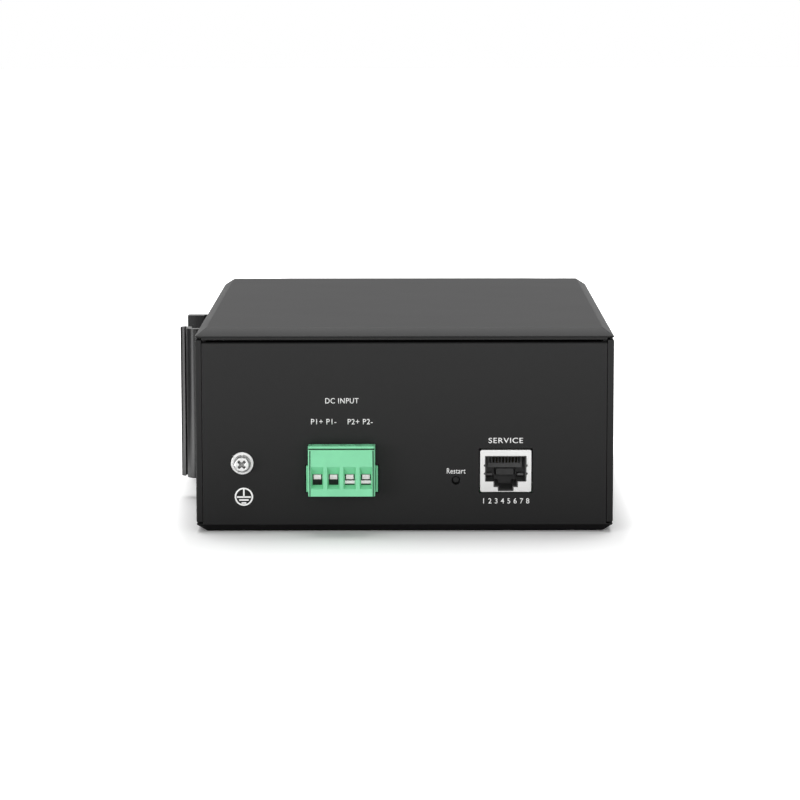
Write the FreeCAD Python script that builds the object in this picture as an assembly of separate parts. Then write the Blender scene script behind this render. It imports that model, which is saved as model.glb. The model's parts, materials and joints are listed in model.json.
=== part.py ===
import FreeCAD, Part
import math
import os

# Industrial ethernet switch for a 35 mm mounting rail, lying on its side on its bottom plate.
# Millimetres. X runs from the rail side to the port side, Y from the power end to the far end, Z up.
# The origin is the middle of the flat bottom.

V = FreeCAD.Vector
X_AXIS = V(1, 0, 0)
Y_AXIS = V(0, 1, 0)
Z_AXIS = V(0, 0, 1)
SIDES = (-1, 1)
SAME = 0.001            # places nearer than this are one place

# Case of folded sheet with two plain walls
case_width = 131.6
case_depth = 160.0
case_height = 64.8
cover_inset = 3.5       # of the top bevel
base_inset = 3.0        # of the bottom bevel
bevel_rise = 2.45
corner_round = 0.8      # plan radius of the mitred corners
edge_round = 0.6        # soft edge between flat and bevel
sheet = 1.2
wall = 2.0
wall_round = 0.4
base_rim = 0.3          # upright edge of the bottom bevel
cover_rim = 0.5         # upright edge of the top bevel
seam = 0.65             # open joint line under the cover
foot_gap = 0.5          # joint line under the two walls
side_gap = 0.12         # joint line between end panels and walls
lip_drop = 1.15         # cover lip over each end panel
bend_round = 0.8
side_fold_depth = 13.0  # inward folds of the end panels
side_fold_low = 6.0
side_fold_height = 28.0
top_fold_depth = 8.0
top_fold_inset = 3.0
tab_width = 10.0        # screw tabs of the cover
tab_drop = 17.0

# Fits
slack = 0.1             # sliding and seated parts
thread_slack = 0.05
cutout_slack = 0.35     # connectors in their panel cut-outs

# M3 fasteners
screw_radius = 1.5
screw_head_radius = 2.75
screw_head_height = 1.25
screw_hole_slack = 0.15
case_screw_length = 5.0
case_screw_inset = 7.0
case_screw_low = 20.0
case_screw_drop = 12.0

# Rail clip, a section along Z that stands out from the rear wall
rail_width = 35.0
clip_length = 50.5
clip_base = 2.6
clip_far_tip = 21.0     # near face of the far hook
clip_far_bite = 2.0
clip_far_wall = 2.0
clip_far_groove = 0.6   # undercut of the base at the far hook
clip_far_slot = 1.7
clip_stand = 9.5
clip_near_slot = 2.9
clip_near_leg = 2.1
clip_near_bite = 1.5
clip_near_reach = 6.4
clip_near_nose = 2.4
clip_lip_run = 2.4      # finger lip along the near hook
clip_lip_slant = 0.6
clip_lip_gap = 0.6      # groove between lip and hook
clip_lip_depth = 1.4
clip_flare_tip = 1.4
clip_lead_in = 2.2
clip_round = 0.8
clip_screw_length = 5.2
clip_screw_y = 3.0
clip_screw_pitch_y = 18.0
clip_screw_pitch_z = 30.0
spring_thick = 0.6
spring_side_gap = 0.2
spring_end_gap = 2.0
spring_rise = 5.0

# Main board on standoffs
standoff_height = 10.15
standoff_across = 5.5
standoff_inset = 6.0
board_thick = 1.6
board_side_gap = 1.0
board_end_gap = 3.0
board_screw_length = 7.0
board_head_radius = 2.8
board_head_height = 1.8

# Ground screw on the power end
ground_inset = 14.65    # from the rail side
ground_height = 22.2
ground_hole_slack = 0.2
ground_screw_length = 7.0
ground_head_across = 4.5
ground_head_height = 2.2
ground_head_chamfer = 0.5
flat_washer_radius = 3.55
flat_washer_thick = 0.6
lock_washer_radius = 2.75
lock_washer_thick = 0.9
lock_washer_split = 0.5
ground_nut_radius = 3.1
ground_nut_height = 2.5

# Terminal header, four poles
pole_pitch = 5.08
pole_count = 4
terminal_inset = 46.1   # middle of the block from the rail side
header_width = 22.6
header_height = 8.4
header_depth = 12.0
header_wall = 0.75
header_cutout_slack = 0.2
header_socket_depth = 8.5
pin_height = 4.2        # pin axis above the board
pin_size = 1.0
pin_set_back = 2.0      # pin tip behind the header face
pin_tail = 1.5          # below the board
pin_hole_slack = 0.15

# Terminal plug with rising-cage clamps
plug_width = 20.95
plug_height = 15.9
plug_drop = 4.3         # plug bottom below the pin axis
plug_proud = 8.0        # plug face in front of the panel
plug_shoulder_gap = 0.2
plug_nose_length = 8.2
plug_nose_slack = 0.15
plug_edge = 0.5
plug_groove_height = 0.45
plug_groove_depth = 1.0
plug_bead_height = 0.7
plug_deck_fall = 0.5    # of the top towards the panel
entry_width = 3.9
entry_low = 2.3         # funnel mouth above the plug bottom
entry_height = 7.1
throat_width = 3.0
throat_below_bar = 1.7
front_wall = 2.2
chamber_width = 4.1
chamber_depth = 4.4
chamber_wall = 0.6      # between chamber and contact
bar_rise = 5.1          # clamping bar above the plug bottom
bar_thick = 1.5
bar_width = 2.4
fork_leaf = 0.5
fork_slack = 0.1
fork_reach = 7.0
wire_gap = 3.0          # between bar and open cage
cage_wall = 0.4
cage_floor = 1.0
cage_top = 1.2
cage_travel = 2.7
cage_depth = 4.0
cage_lift = (0.0, 0.0, 2.6, 2.6)
clamp_screw_radius = 1.25
clamp_head_radius = 1.9
clamp_head_height = 1.6
clamp_slot_width = 0.5
clamp_slot_depth = 0.8
clamp_well_radius = 2.1
clamp_shoulder = 1.0

# Modular jack, shared by the console jack and the port block
jack_open_width = 13.05
jack_open_height = 8.15
latch_width = 7.7
latch_height = 1.8
tip_width = 5.0
tip_height = 1.3
jack_cavity_inset = 0.35
jack_cavity_depth = 13.5
shell_sheet = 0.4
contact_count = 8
contact_pitch = 1.02
contact_width = 0.45
contact_thick = 0.3
contact_front = 3.6
contact_bend = 4.4
contact_reach = 9.0
contact_fall = 2.8

# Console jack
console_inset = 33.9    # from the port side
console_width = 16.1
console_height = 13.4
console_depth = 15.5
console_proud = 0.4
console_round = 0.6
console_mouth_rise = 0.2
console_notch_radius = 0.4
console_notch_heights = (5.6, 8.2)
comb_count = 10
comb_slit = 0.6
comb_height = 5.2
comb_slit_height = 3.7
comb_depth = 1.6
comb_width = 11.0

# Reset button behind its pin hole
reset_from_console = 15.7
reset_rise = 3.6        # plunger axis above the board
reset_hole_radius = 1.325
reset_body_width = 6.2
reset_body_height = 6.8
reset_body_depth = 4.0
reset_plunger_radius = 0.95
reset_plunger_gap = 0.8 # plunger tip behind the panel
reset_plunger_out = 2.8
reset_plunger_in = 1.2
reset_travel = 0.3

# Stacked port block on the port side
port_columns = 4
port_pitch = 14.0
port_proud = 0.4
port_block_start = -41.8
port_block_margin = 1.0
port_block_height = 25.6
port_block_depth = 25.0
port_mouth_rise = 0.7
light_pipe_width = 2.6
light_pipe_height = 1.2
light_pipe_depth = 6.0
light_pipe_offset = 4.4

# Twin cage for optical modules
cage_gap = 4.0          # from the port block
module_count = 2
module_width = 14.0
module_height = 8.9
module_cage_sheet = 0.5
module_cage_length = 48.0
module_connector_width = 11.5
module_connector_depth = 8.0
module_connector_height = 6.2

# Status lights
light_count = 4
light_pitch = 3.6
light_radius = 1.5
light_hole_slack = 0.15
light_holder_width = 4.4
light_holder_depth = 6.0
light_holder_gap = 4.0  # from the port block
light_seat_depth = 3.0
light_end_wall = 0.66   # holder beyond its outer lights
light_proud = 0.5

# Parts on the board
chip_spot = (-8.0, 4.0)
chip_size = 24.0
chip_height = 2.0
pad_size = 22.0
pad_thick = 0.5
sink_size = 38.0
sink_base = 3.0
sink_height = 18.0
sink_fins = 9
sink_fin_thick = 1.4
transformer_gap = 2.0   # behind the port block
transformer_length = 13.0
transformer_width = 12.5
transformer_height = 6.0
controller_gap = 2.9    # behind the transformers
controller_ys = (-32.0, -12.0)
controller_size = 9.0
controller_height = 1.0
memory_spot = (-6.0, -34.0)
memory_length = 13.0
memory_width = 10.0
memory_height = 1.2
capacitor_inset = 15.5  # from the board's rail side
capacitor_ys = (-46.0, -31.0, -16.0)
capacitor_radius = 6.3
capacitor_height = 25.0
inductor_gap = 6.35     # from the capacitors
inductor_ys = (-52.0, -34.0)
inductor_size = 12.7
inductor_height = 8.0
inductor_round = 2.0
converter_inset = 27.5  # middle from the board's rail side
converter_end = 29.8    # middle from the board's far end
converter_length = 33.0
converter_width = 22.9
converter_height = 12.7
moulding_chamfer = 0.4

# Places worked out from the sizes above
half_width = case_width / 2
half_depth = case_depth / 2
wall_inner = half_width - wall
wall_low = bevel_rise + base_rim + foot_gap
wall_high = case_height - bevel_rise - cover_rim - seam
lip_low = case_height - bevel_rise - lip_drop
panel_top = lip_low - seam
panel_half = wall_inner - side_gap
fold_inner = panel_half - sheet
end_inner = half_depth - sheet
case_screw_y = half_depth - case_screw_inset
case_screw_high = case_height - case_screw_drop
board_bottom = sheet + standoff_height
board_top = board_bottom + board_thick
board_half_x = fold_inner - board_side_gap
board_half_y = end_inner - board_end_gap
clip_middle_z = case_height / 2
clip_near_tip = clip_far_tip + clip_far_bite - rail_width + clip_near_bite
clip_slot_end = clip_near_tip - clip_near_reach
ground_x = ground_inset - half_width
terminal_x = terminal_inset - half_width
header_front = -half_depth
pin_z = board_top + pin_height
plug_bottom = pin_z - plug_drop
plug_top = plug_bottom + plug_height
plug_front = -half_depth - plug_proud
plug_shoulder = header_front - plug_shoulder_gap
bar_low = plug_bottom + bar_rise
bar_top = bar_low + bar_thick
chamber_front = plug_front + front_wall
chamber_back = chamber_front + chamber_depth
chamber_low = bar_low - wire_gap - cage_floor - slack
chamber_high = bar_top + slack + cage_top + cage_travel + slack
clamp_seat = chamber_high + clamp_shoulder
clamp_y = chamber_front + chamber_depth / 2
web_front = chamber_back + chamber_wall
pole_xs = [terminal_x + (n - (pole_count - 1) / 2) * pole_pitch for n in range(pole_count)]
mouth_height = tip_height + latch_height + jack_open_height
console_x = half_width - console_inset
console_front = -half_depth - console_proud
reset_x = console_x - reset_from_console
reset_z = board_top + reset_rise
reset_tip = reset_plunger_gap - end_inner
reset_body_front = reset_tip + reset_plunger_out
port_front = half_width + port_proud
port_block_width = port_columns * port_pitch + 2 * port_block_margin
port_block_end = port_block_start + port_block_width
port_block_back = port_front - port_block_depth
port_ys = [port_block_start + port_block_margin + (n + 0.5) * port_pitch for n in range(port_columns)]
module_pitch = module_width + module_cage_sheet
module_start = port_block_end + cage_gap
module_cage_width = module_count * module_pitch + module_cage_sheet
module_first = module_start + module_cage_sheet + module_width / 2
module_ys = [module_first + n * module_pitch for n in range(module_count)]
module_cage_height = module_height + 2 * module_cage_sheet
module_cage_back = port_front - module_cage_length
light_y = port_block_start - light_holder_gap - light_holder_width / 2
light_first = board_top + light_end_wall + light_radius
light_zs = [light_first + n * light_pitch for n in range(light_count)]
light_holder_top = light_zs[-1] + light_radius + light_end_wall
sink_low = board_top + chip_height + pad_thick
transformer_x = port_block_back - transformer_gap - transformer_length / 2
controller_x = transformer_x - transformer_length / 2 - controller_gap - controller_size / 2
capacitor_x = capacitor_inset - board_half_x
inductor_x = capacitor_x + capacitor_radius + inductor_gap + inductor_size / 2
converter_x = converter_inset - board_half_x
converter_y = board_half_y - converter_end


def span(middle, size):
    return middle - size / 2, middle + size / 2


def block(x, y, z):
    """A box from (low, high) pairs, in either order."""
    (x0, x1), (y0, y1), (z0, z1) = sorted(x), sorted(y), sorted(z)
    return Part.makeBox(x1 - x0, y1 - y0, z1 - z0, V(x0, y0, z0))


def rod(radius, start, run):
    return Part.makeCylinder(radius, run.Length, start, run)


def ring(outer, inner, start, run):
    return rod(outer, start, run).cut(rod(inner, start, run))


def prism(corners, run):
    return Part.Face(Part.makePolygon(corners + corners[:1])).extrude(run)


def hex_bar(across, start, run):
    corner = across / math.sqrt(3)
    turns = [math.radians(60 * n) for n in range(6)]
    bar = prism([V(corner * math.cos(a), corner * math.sin(a), 0) for a in turns], Z_AXIS * run.Length)
    bar.Placement = FreeCAD.Placement(start, FreeCAD.Rotation(Z_AXIS, run))
    return bar


def rounded_rectangle(half_x, half_y, radius, z):
    """A closed wire in the plane of height z."""
    quarters = ((1, 1), (-1, 1), (-1, -1), (1, -1))
    arcs = []
    for turn, (sx, sy) in enumerate(quarters):
        middle = V(sx * (half_x - radius), sy * (half_y - radius), z)
        start = turn * math.pi / 2
        arcs.append(Part.Arc(Part.Circle(middle, Z_AXIS, radius), start, start + math.pi / 2).toShape())
    edges = []
    for arc, following in zip(arcs, arcs[1:] + arcs[:1]):
        edges += [arc, Part.makeLine(arc.lastVertex().Point, following.firstVertex().Point)]
    return Part.Wire(edges)


def rectangle(half_x, half_y, z):
    corners = [V(half_x, half_y, z), V(-half_x, half_y, z), V(-half_x, -half_y, z), V(half_x, -half_y, z)]
    return Part.makePolygon(corners + corners[:1])


def chamfered_block(x, y, z, chamfer):
    """A moulded body with its upper edges broken."""
    body = block(x, y, z)
    top = max(z)
    upper = [edge for edge in body.Edges if math.isclose(edge.BoundBox.ZMin, top)]
    return body.makeChamfer(chamfer, upper)


def save(name, *solids):
    shape = solids[0] if len(solids) == 1 else Part.makeCompound(list(solids))
    shape.exportStep(f"parts/{name}.step")


def inner_inset(inset):
    """How far the inner flat of a pan stays within the case, for the inset of its bevel."""
    return inset + sheet * math.tan(math.atan2(bevel_rise, inset) / 2)


def bevelled_pan(inset, rim):
    """A shallow pan, its flat at z = 0, with four mitred bevels up to an upright rim."""
    flat = rounded_rectangle(half_width - inset, half_depth - inset, corner_round, 0)
    edge = rounded_rectangle(half_width, half_depth, corner_round, bevel_rise)
    outer = Part.makeLoft([flat, edge], True, True).fuse(Part.Face(edge).extrude(Z_AXIS * rim))
    crease = [e for e in outer.Edges if math.isclose(e.BoundBox.ZMax, 0, abs_tol=SAME)]
    outer = outer.makeFillet(edge_round, crease)
    mouth = bevel_rise + rim + sheet
    spread = (mouth - sheet) * inset / bevel_rise
    floor_x = half_width - inner_inset(inset)
    floor_y = half_depth - inner_inset(inset)
    floor = rectangle(floor_x, floor_y, sheet)
    inner = Part.makeLoft([floor, rectangle(floor_x + spread, floor_y + spread, mouth)], True, True)
    return outer.cut(inner)


def end_panel(side):
    """An end of the chassis: the panel with a fold along its top and one along each wall."""
    face_y = (side * end_inner, side * half_depth)
    panel = block((-panel_half, panel_half), face_y, (bevel_rise, panel_top))
    top_half = fold_inner - top_fold_inset
    top_fold = block((-top_half, top_half), (side * (half_depth - top_fold_depth), side * half_depth),
                     (panel_top - sheet, panel_top))
    fold_y = (side * (half_depth - side_fold_depth), side * half_depth)
    fold_z = (side_fold_low, side_fold_low + side_fold_height)
    folds = [block((hand * fold_inner, hand * panel_half), fold_y, fold_z) for hand in SIDES]
    end = panel.fuse([top_fold] + folds).removeSplitter()
    bend = [e for e in end.Edges if math.isclose(e.BoundBox.ZMin, panel_top)
            and math.isclose(abs(e.BoundBox.Center.y), half_depth)]
    return end.makeFillet(bend_round, bend)


def case_screw_spots(side, heights):
    """Points on a wall's outer face where case screws go in."""
    return [V(side * half_width, end * case_screw_y, z) for end in SIDES for z in heights]


def countersunk(spot, inward, length, grow=0.0):
    """A countersunk screw, or with grow the hole that clears it."""
    head = Part.makeCone(screw_head_radius + grow, screw_radius + grow, screw_head_height, spot, inward)
    neck = spot + inward * screw_head_height
    return head.fuse(rod(screw_radius + grow, neck, inward * (length - screw_head_height)))


def tapped_hole(spot, side):
    """The hole in a fold or tab behind a wall, where a case screw holds."""
    start = V(side * (panel_half + slack), spot.y, spot.z)
    return rod(screw_radius + thread_slack, start, X_AXIS * -side * (sheet + 2 * slack))


def jack_outline(inset):
    """Mouth of a modular jack in (x, z), latch downwards, standing on z = 0."""
    half_main = jack_open_width / 2 - inset
    half_latch = latch_width / 2 - inset
    half_tip = tip_width / 2 - inset
    latch_low = tip_height + inset
    main_low = tip_height + latch_height
    right = [(half_tip, inset), (half_tip, latch_low), (half_latch, latch_low), (half_latch, main_low),
             (half_main, main_low), (half_main, mouth_height - inset)]
    return right + [(-x, z) for x, z in reversed(right)]


def jack_void(inset, start, end):
    """What a jack's mouth removes, from y = start to y = end, facing -Y."""
    return prism([V(x, start, z) for x, z in jack_outline(inset)], Y_AXIS * (end - start))


def jack_contacts():
    """Sprung wires that hang from the roof of a jack's cavity."""
    roof = mouth_height - jack_cavity_inset
    side = [(contact_front, roof), (contact_bend, roof), (contact_reach, roof - contact_fall),
            (contact_reach, roof - contact_fall - contact_thick), (contact_bend, roof - contact_thick),
            (contact_front, roof - contact_thick)]
    wires = []
    for n in range(contact_count):
        x = (n - (contact_count - 1) / 2) * contact_pitch - contact_width / 2
        wires.append(prism([V(x, y, z) for y, z in side], X_AXIS * contact_width))
    return wires


def on_console(shape):
    placed = shape.copy()
    placed.translate(V(console_x, console_front, board_top + console_mouth_rise))
    return placed


def on_ports(shape):
    """Copies of a jack's shape for both rows of the port block. The upper row is upside down."""
    low = board_top + port_mouth_rise
    high = board_top + port_block_height - port_mouth_rise
    copies = []
    for y in port_ys:
        for roll, z in ((0, low), (180, high)):
            placed = shape.copy()
            placed.rotate(V(), Y_AXIS, roll)
            placed.rotate(V(), Z_AXIS, 90)
            placed.translate(V(port_front, y, z))
            copies.append(placed)
    return copies


def chassis():
    body = bevelled_pan(base_inset, base_rim).fuse([end_panel(side) for side in SIDES]).removeSplitter()
    depth = (-half_depth - sheet, -end_inner + slack)
    gap = header_cutout_slack
    jack_width = console_width + 2 * cutout_slack
    through = Y_AXIS * (sheet + 2 * slack)
    start = -half_depth - slack
    cuts = [
        block(span(terminal_x, header_width + 2 * gap), depth,
              (board_top - gap, board_top + header_height + gap)),
        block(span(console_x, jack_width), depth,
              (board_top - cutout_slack, board_top + console_height + cutout_slack)),
        rod(reset_hole_radius, V(reset_x, start, reset_z), through),
        rod(screw_radius + ground_hole_slack, V(ground_x, start, ground_height), through),
    ]
    for side in SIDES:
        for spot in case_screw_spots(side, [case_screw_low]):
            cuts.append(tapped_hole(spot, side))
    save("chassis", body.cut(cuts))


def top_cover():
    body = bevelled_pan(cover_inset, cover_rim)
    slope = bevel_rise / cover_inset
    body.rotate(V(0, 0, case_height / 2), X_AXIS, 180)
    adds = []
    cuts = []
    for side in SIDES:
        adds.append(block((-panel_half, panel_half), (side * end_inner, side * half_depth),
                          (lip_low, case_height - bevel_rise)))
        skin_out = (panel_half - half_width + cover_inset) * slope
        skin_in = sheet + (fold_inner - half_width + inner_inset(cover_inset)) * slope
        tab_high = case_height - (skin_out + skin_in) / 2
        for spot in case_screw_spots(side, [case_screw_high]):
            adds.append(block((side * fold_inner, side * panel_half), span(spot.y, tab_width),
                              (case_height - tab_drop, tab_high)))
            cuts.append(tapped_hole(spot, side))
    save("top_cover", body.fuse(adds).removeSplitter().cut(cuts))


def side_wall(side):
    plate = block((side * wall_inner, side * half_width), (-half_depth, half_depth), (wall_low, wall_high))
    rim = [e for e in plate.Edges if math.isclose(abs(e.BoundBox.Center.x), half_width)]
    plate = plate.makeFillet(wall_round, rim)
    holes = [countersunk(spot, X_AXIS * -side, wall + slack, screw_hole_slack)
             for spot in case_screw_spots(side, [case_screw_low, case_screw_high])]
    return plate.cut(holes)


def clip_screw_spots(u):
    """Points of the clip screws at a distance u out from the rear wall."""
    ys = span(clip_screw_y, clip_screw_pitch_y)
    zs = span(clip_middle_z, clip_screw_pitch_z)
    return [V(-half_width - u, y, z) for y in ys for z in zs]


def rear_wall():
    holes = [rod(screw_radius + thread_slack, spot, X_AXIS * (wall + 2 * slack))
             for spot in clip_screw_spots(slack)]
    save("rear_wall", side_wall(-1).cut(holes))


def port_panel():
    depth = (wall_inner - slack, half_width + slack)
    gap = cutout_slack
    cuts = [
        block(depth, (port_block_start - gap, port_block_end + gap),
              (board_top - gap, board_top + port_block_height + gap)),
        block(depth, (module_start - gap, module_start + module_cage_width + gap),
              (board_top - gap, board_top + module_cage_height + gap)),
    ]
    for z in light_zs:
        cuts.append(rod(light_radius + light_hole_slack, V(wall_inner - slack, light_y, z),
                        X_AXIS * (wall + 2 * slack)))
    save("port_panel", side_wall(1).cut(cuts))


def case_screws():
    heights = [case_screw_low, case_screw_high]
    save("case_screws", *[countersunk(spot, X_AXIS * -side, case_screw_length)
                          for side in SIDES for spot in case_screw_spots(side, heights)])


def rail_clip():
    """Extruded section: a deep sprung hook with a finger lip near the power end, a shallow hook beyond."""
    def at(u, y):
        return V(-half_width - u, y, clip_middle_z - clip_length / 2)

    leg_in = clip_base + clip_near_slot
    leg_out = leg_in + clip_near_leg
    nose_radius = (clip_near_slot + 2 * clip_near_leg) / 2
    nose_y = clip_slot_end - clip_near_nose + nose_radius
    nose_in = leg_out - 2 * nose_radius
    far_in = clip_base - clip_far_groove
    far_out = far_in + clip_far_slot
    far_slot_end = clip_far_tip + clip_far_bite
    far_end = far_slot_end + clip_far_wall
    flare_y = clip_near_tip - clip_flare_tip
    lip_y = flare_y - clip_lip_run
    lip_in = leg_out + clip_lip_gap
    lip_root = lip_y + clip_lip_depth
    bow = clip_round * (1 - math.sqrt(0.5))
    before = [at(0, far_end), at(0, nose_y), at(nose_in, nose_y)]
    after = [
        at(leg_out, nose_y), at(leg_out, lip_root), at(lip_in, lip_root), at(lip_in, lip_y),
        at(clip_stand, lip_y + clip_lip_slant), at(clip_stand, flare_y),
        at(clip_stand - clip_flare_tip, clip_near_tip), at(leg_in, clip_near_tip - clip_lead_in),
        at(leg_in, clip_slot_end), at(clip_base, clip_slot_end),
        at(clip_base, clip_far_tip - clip_far_slot), at(far_in, clip_far_tip),
        at(far_in, far_slot_end), at(far_out, far_slot_end), at(far_out, clip_far_tip),
        at(clip_stand, clip_far_tip), at(clip_stand, far_end - clip_round),
    ]
    nose = Part.Arc(before[-1], at(leg_out - nose_radius, nose_y - nose_radius), after[0]).toShape()
    corner_top = at(clip_stand - clip_round, far_end)
    corner = Part.Arc(after[-1], at(clip_stand - bow, far_end - bow), corner_top).toShape()
    edges = [Part.makeLine(a, b) for a, b in zip(before, before[1:])] + [nose]
    edges += [Part.makeLine(a, b) for a, b in zip(after, after[1:])] + [corner]
    edges.append(Part.makeLine(corner_top, before[0]))
    body = Part.Face(Part.Wire(edges)).extrude(Z_AXIS * clip_length)
    spots = clip_screw_spots(clip_base)
    holes = [countersunk(spot, X_AXIS, clip_base + slack, screw_hole_slack) for spot in spots]
    save("rail_clip", body.cut(holes))
    save("clip_screws", *[countersunk(spot, X_AXIS, clip_screw_length) for spot in spots])


def rail_spring():
    """A bowed strip in the near hook, its ends on the slot's end."""
    half = clip_length / 2 - spring_end_gap
    foot = clip_slot_end + thread_slack
    x = -half_width - clip_base - spring_side_gap
    low, middle, high = clip_middle_z - half, clip_middle_z, clip_middle_z + half
    outer = Part.Arc(V(x, foot + spring_thick, low), V(x, foot + spring_rise, middle),
                     V(x, foot + spring_thick, high))
    inner = Part.Arc(V(x, foot, high), V(x, foot + spring_rise - spring_thick, middle), V(x, foot, low))
    arcs = [outer.toShape(), inner.toShape()]
    ends = [Part.makeLine(a.lastVertex().Point, b.firstVertex().Point) for a, b in (arcs, arcs[::-1])]
    strip = Part.Face(Part.Wire([arcs[0], ends[0], arcs[1], ends[1]]))
    save("rail_spring", strip.extrude(X_AXIS * -(clip_near_slot - 2 * spring_side_gap)))


def ground_stud():
    """Screw with its two washers on the power end, and the clinch nut behind the panel."""
    face = V(ground_x, -half_depth, ground_height)
    hole = screw_radius + ground_hole_slack
    flat = ring(flat_washer_radius, hole, face, Y_AXIS * -flat_washer_thick)
    lock_face = face - Y_AXIS * flat_washer_thick
    lock = ring(lock_washer_radius, hole, lock_face, Y_AXIS * -lock_washer_thick)
    split = block(span(ground_x, lock_washer_split), (lock_face.y - lock_washer_thick, lock_face.y),
                  (ground_height, ground_height + lock_washer_radius))
    head_face = lock_face - Y_AXIS * lock_washer_thick
    head = hex_bar(ground_head_across, head_face, Y_AXIS * -ground_head_height)
    corner = ground_head_across / math.sqrt(3)
    crown = Part.makeCone(corner + ground_head_height, corner - ground_head_chamfer,
                          ground_head_height + ground_head_chamfer, head_face + Y_AXIS * ground_head_chamfer,
                          Y_AXIS * -1)
    shank = rod(screw_radius, head_face, Y_AXIS * ground_screw_length)
    save("ground_flat_washer", flat)
    save("ground_lock_washer", lock.cut(split))
    save("ground_screw", head.common(crown).fuse(shank))
    save("ground_nut", ring(ground_nut_radius, screw_radius + thread_slack,
                            V(ground_x, -end_inner, ground_height), Y_AXIS * ground_nut_height))


def terminal_header():
    width = span(terminal_x, header_width)
    body = block(width, (header_front, header_front + header_depth), (board_top, board_top + header_height))
    socket = block(span(terminal_x, header_width - 2 * header_wall),
                   (header_front - slack, header_front + header_socket_depth),
                   (board_top + header_wall, board_top + header_height - header_wall))
    tip = header_front + pin_set_back
    back = header_front + header_depth
    half = pin_size / 2
    side = [(tip, pin_z - half), (back, pin_z - half), (back, board_bottom - pin_tail),
            (back + pin_size, board_bottom - pin_tail), (back + pin_size, pin_z + half), (tip, pin_z + half)]
    pins = [prism([V(x - half, y, z) for y, z in side], X_AXIS * pin_size) for x in pole_xs]
    save("terminal_header", body.cut(socket).cut(pins))
    save("header_pins", *pins)


def entry_funnel(x):
    """A wire entry that narrows from the plug's face to the clamp."""
    def mouth(y, width, low, high):
        corners = [V(x - width / 2, y, low), V(x + width / 2, y, low), V(x + width / 2, y, high),
                   V(x - width / 2, y, high)]
        return Part.makePolygon(corners + corners[:1])

    low = plug_bottom + entry_low
    face = mouth(plug_front, entry_width, low, low + entry_height)
    throat = mouth(chamber_front, throat_width, bar_low - throat_below_bar, bar_top + slack)
    return Part.makeLoft([face, throat], True, True)


def terminal_plug():
    width = span(terminal_x, plug_width)
    body = block(width, (plug_front, plug_shoulder), (plug_bottom, plug_top))
    uprights = [e for e in body.Edges if math.isclose(e.BoundBox.ZLength, plug_height, abs_tol=SAME)
                and math.isclose(e.BoundBox.YMin, plug_front, abs_tol=SAME)]
    body = body.makeChamfer(plug_edge, uprights)
    nose_inset = header_wall + plug_nose_slack
    nose = block(span(terminal_x, header_width - 2 * nose_inset),
                 (plug_shoulder, plug_shoulder + plug_nose_length),
                 (board_top + nose_inset, board_top + header_height - nose_inset))
    groove_top = plug_top - plug_bead_height
    deck = [(plug_front, plug_top), (plug_shoulder, plug_top), (plug_shoulder, plug_top - plug_deck_fall)]
    cuts = [block(width, (plug_front, plug_front + plug_groove_depth),
                  (groove_top - plug_groove_height, groove_top)),
            prism([V(width[0], y, z) for y, z in deck], X_AXIS * plug_width)]
    channel = bar_width + 2 * slack
    leaf = pin_size / 2 + fork_slack + fork_leaf + slack
    for x in pole_xs:
        axis = V(x, clamp_y, chamber_high)
        cuts += [
            entry_funnel(x),
            block(span(x, chamber_width), (chamber_front, chamber_back), (chamber_low, chamber_high)),
            block(span(x, channel), (chamber_back, web_front), (bar_low - slack, bar_top + slack)),
            block(span(x, channel), (web_front, plug_shoulder), (pin_z - leaf, bar_top + slack)),
            block(span(x, channel), (plug_shoulder, plug_shoulder + plug_nose_length), span(pin_z, 2 * leaf)),
            rod(clamp_screw_radius + slack, axis, Z_AXIS * clamp_shoulder),
            rod(clamp_well_radius, V(x, clamp_y, clamp_seat), Z_AXIS * (plug_top - clamp_seat)),
        ]
    save("terminal_plug", body.fuse(nose).cut(cuts))


def plug_contacts():
    """Clamping bars, each with a fork for its pin."""
    front = chamber_front + slack
    web = web_front + slack
    leaf_start = plug_shoulder
    leaf_end = plug_shoulder + fork_reach
    gap_low, gap_high = span(pin_z, pin_size + 2 * fork_slack)
    low, high = gap_low - fork_leaf, gap_high + fork_leaf
    side = [(front, bar_low), (web, bar_low), (web, low), (leaf_end, low), (leaf_end, gap_low),
            (leaf_start, gap_low), (leaf_start, gap_high), (leaf_end, gap_high), (leaf_end, high),
            (leaf_start, high), (leaf_start, bar_top), (front, bar_top)]
    save("plug_contacts", *[prism([V(x - bar_width / 2, y, z) for y, z in side], X_AXIS * bar_width)
                            for x in pole_xs])


def clamps():
    """For each pole, a slotted screw and the cage that it lifts."""
    cage_width = chamber_width - 2 * slack
    for number, (x, lift) in enumerate(zip(pole_xs, cage_lift), 1):
        inner_low = bar_low - wire_gap + lift
        inner_high = bar_top + slack + lift
        depth = span(clamp_y, cage_depth)
        cage = block(span(x, cage_width), depth, (inner_low - cage_floor, inner_high + cage_top))
        window = block(span(x, cage_width - 2 * cage_wall), depth, (inner_low, inner_high))
        thread = rod(clamp_screw_radius + thread_slack, V(x, clamp_y, inner_high), Z_AXIS * cage_top)
        save(f"clamp_cage_{number}", cage.cut([window, thread]))
        tip = V(x, clamp_y, bar_top + thread_slack)
        seat = V(x, clamp_y, clamp_seat)
        shank = rod(clamp_screw_radius, tip, Z_AXIS * (seat.z - tip.z))
        head = rod(clamp_head_radius, seat, Z_AXIS * clamp_head_height)
        head_top = clamp_seat + clamp_head_height
        slot = block(span(x, 2 * clamp_head_radius), span(clamp_y, clamp_slot_width),
                     (head_top - clamp_slot_depth, head_top))
        save(f"clamp_screw_{number}", head.fuse(shank).cut(slot))


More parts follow.
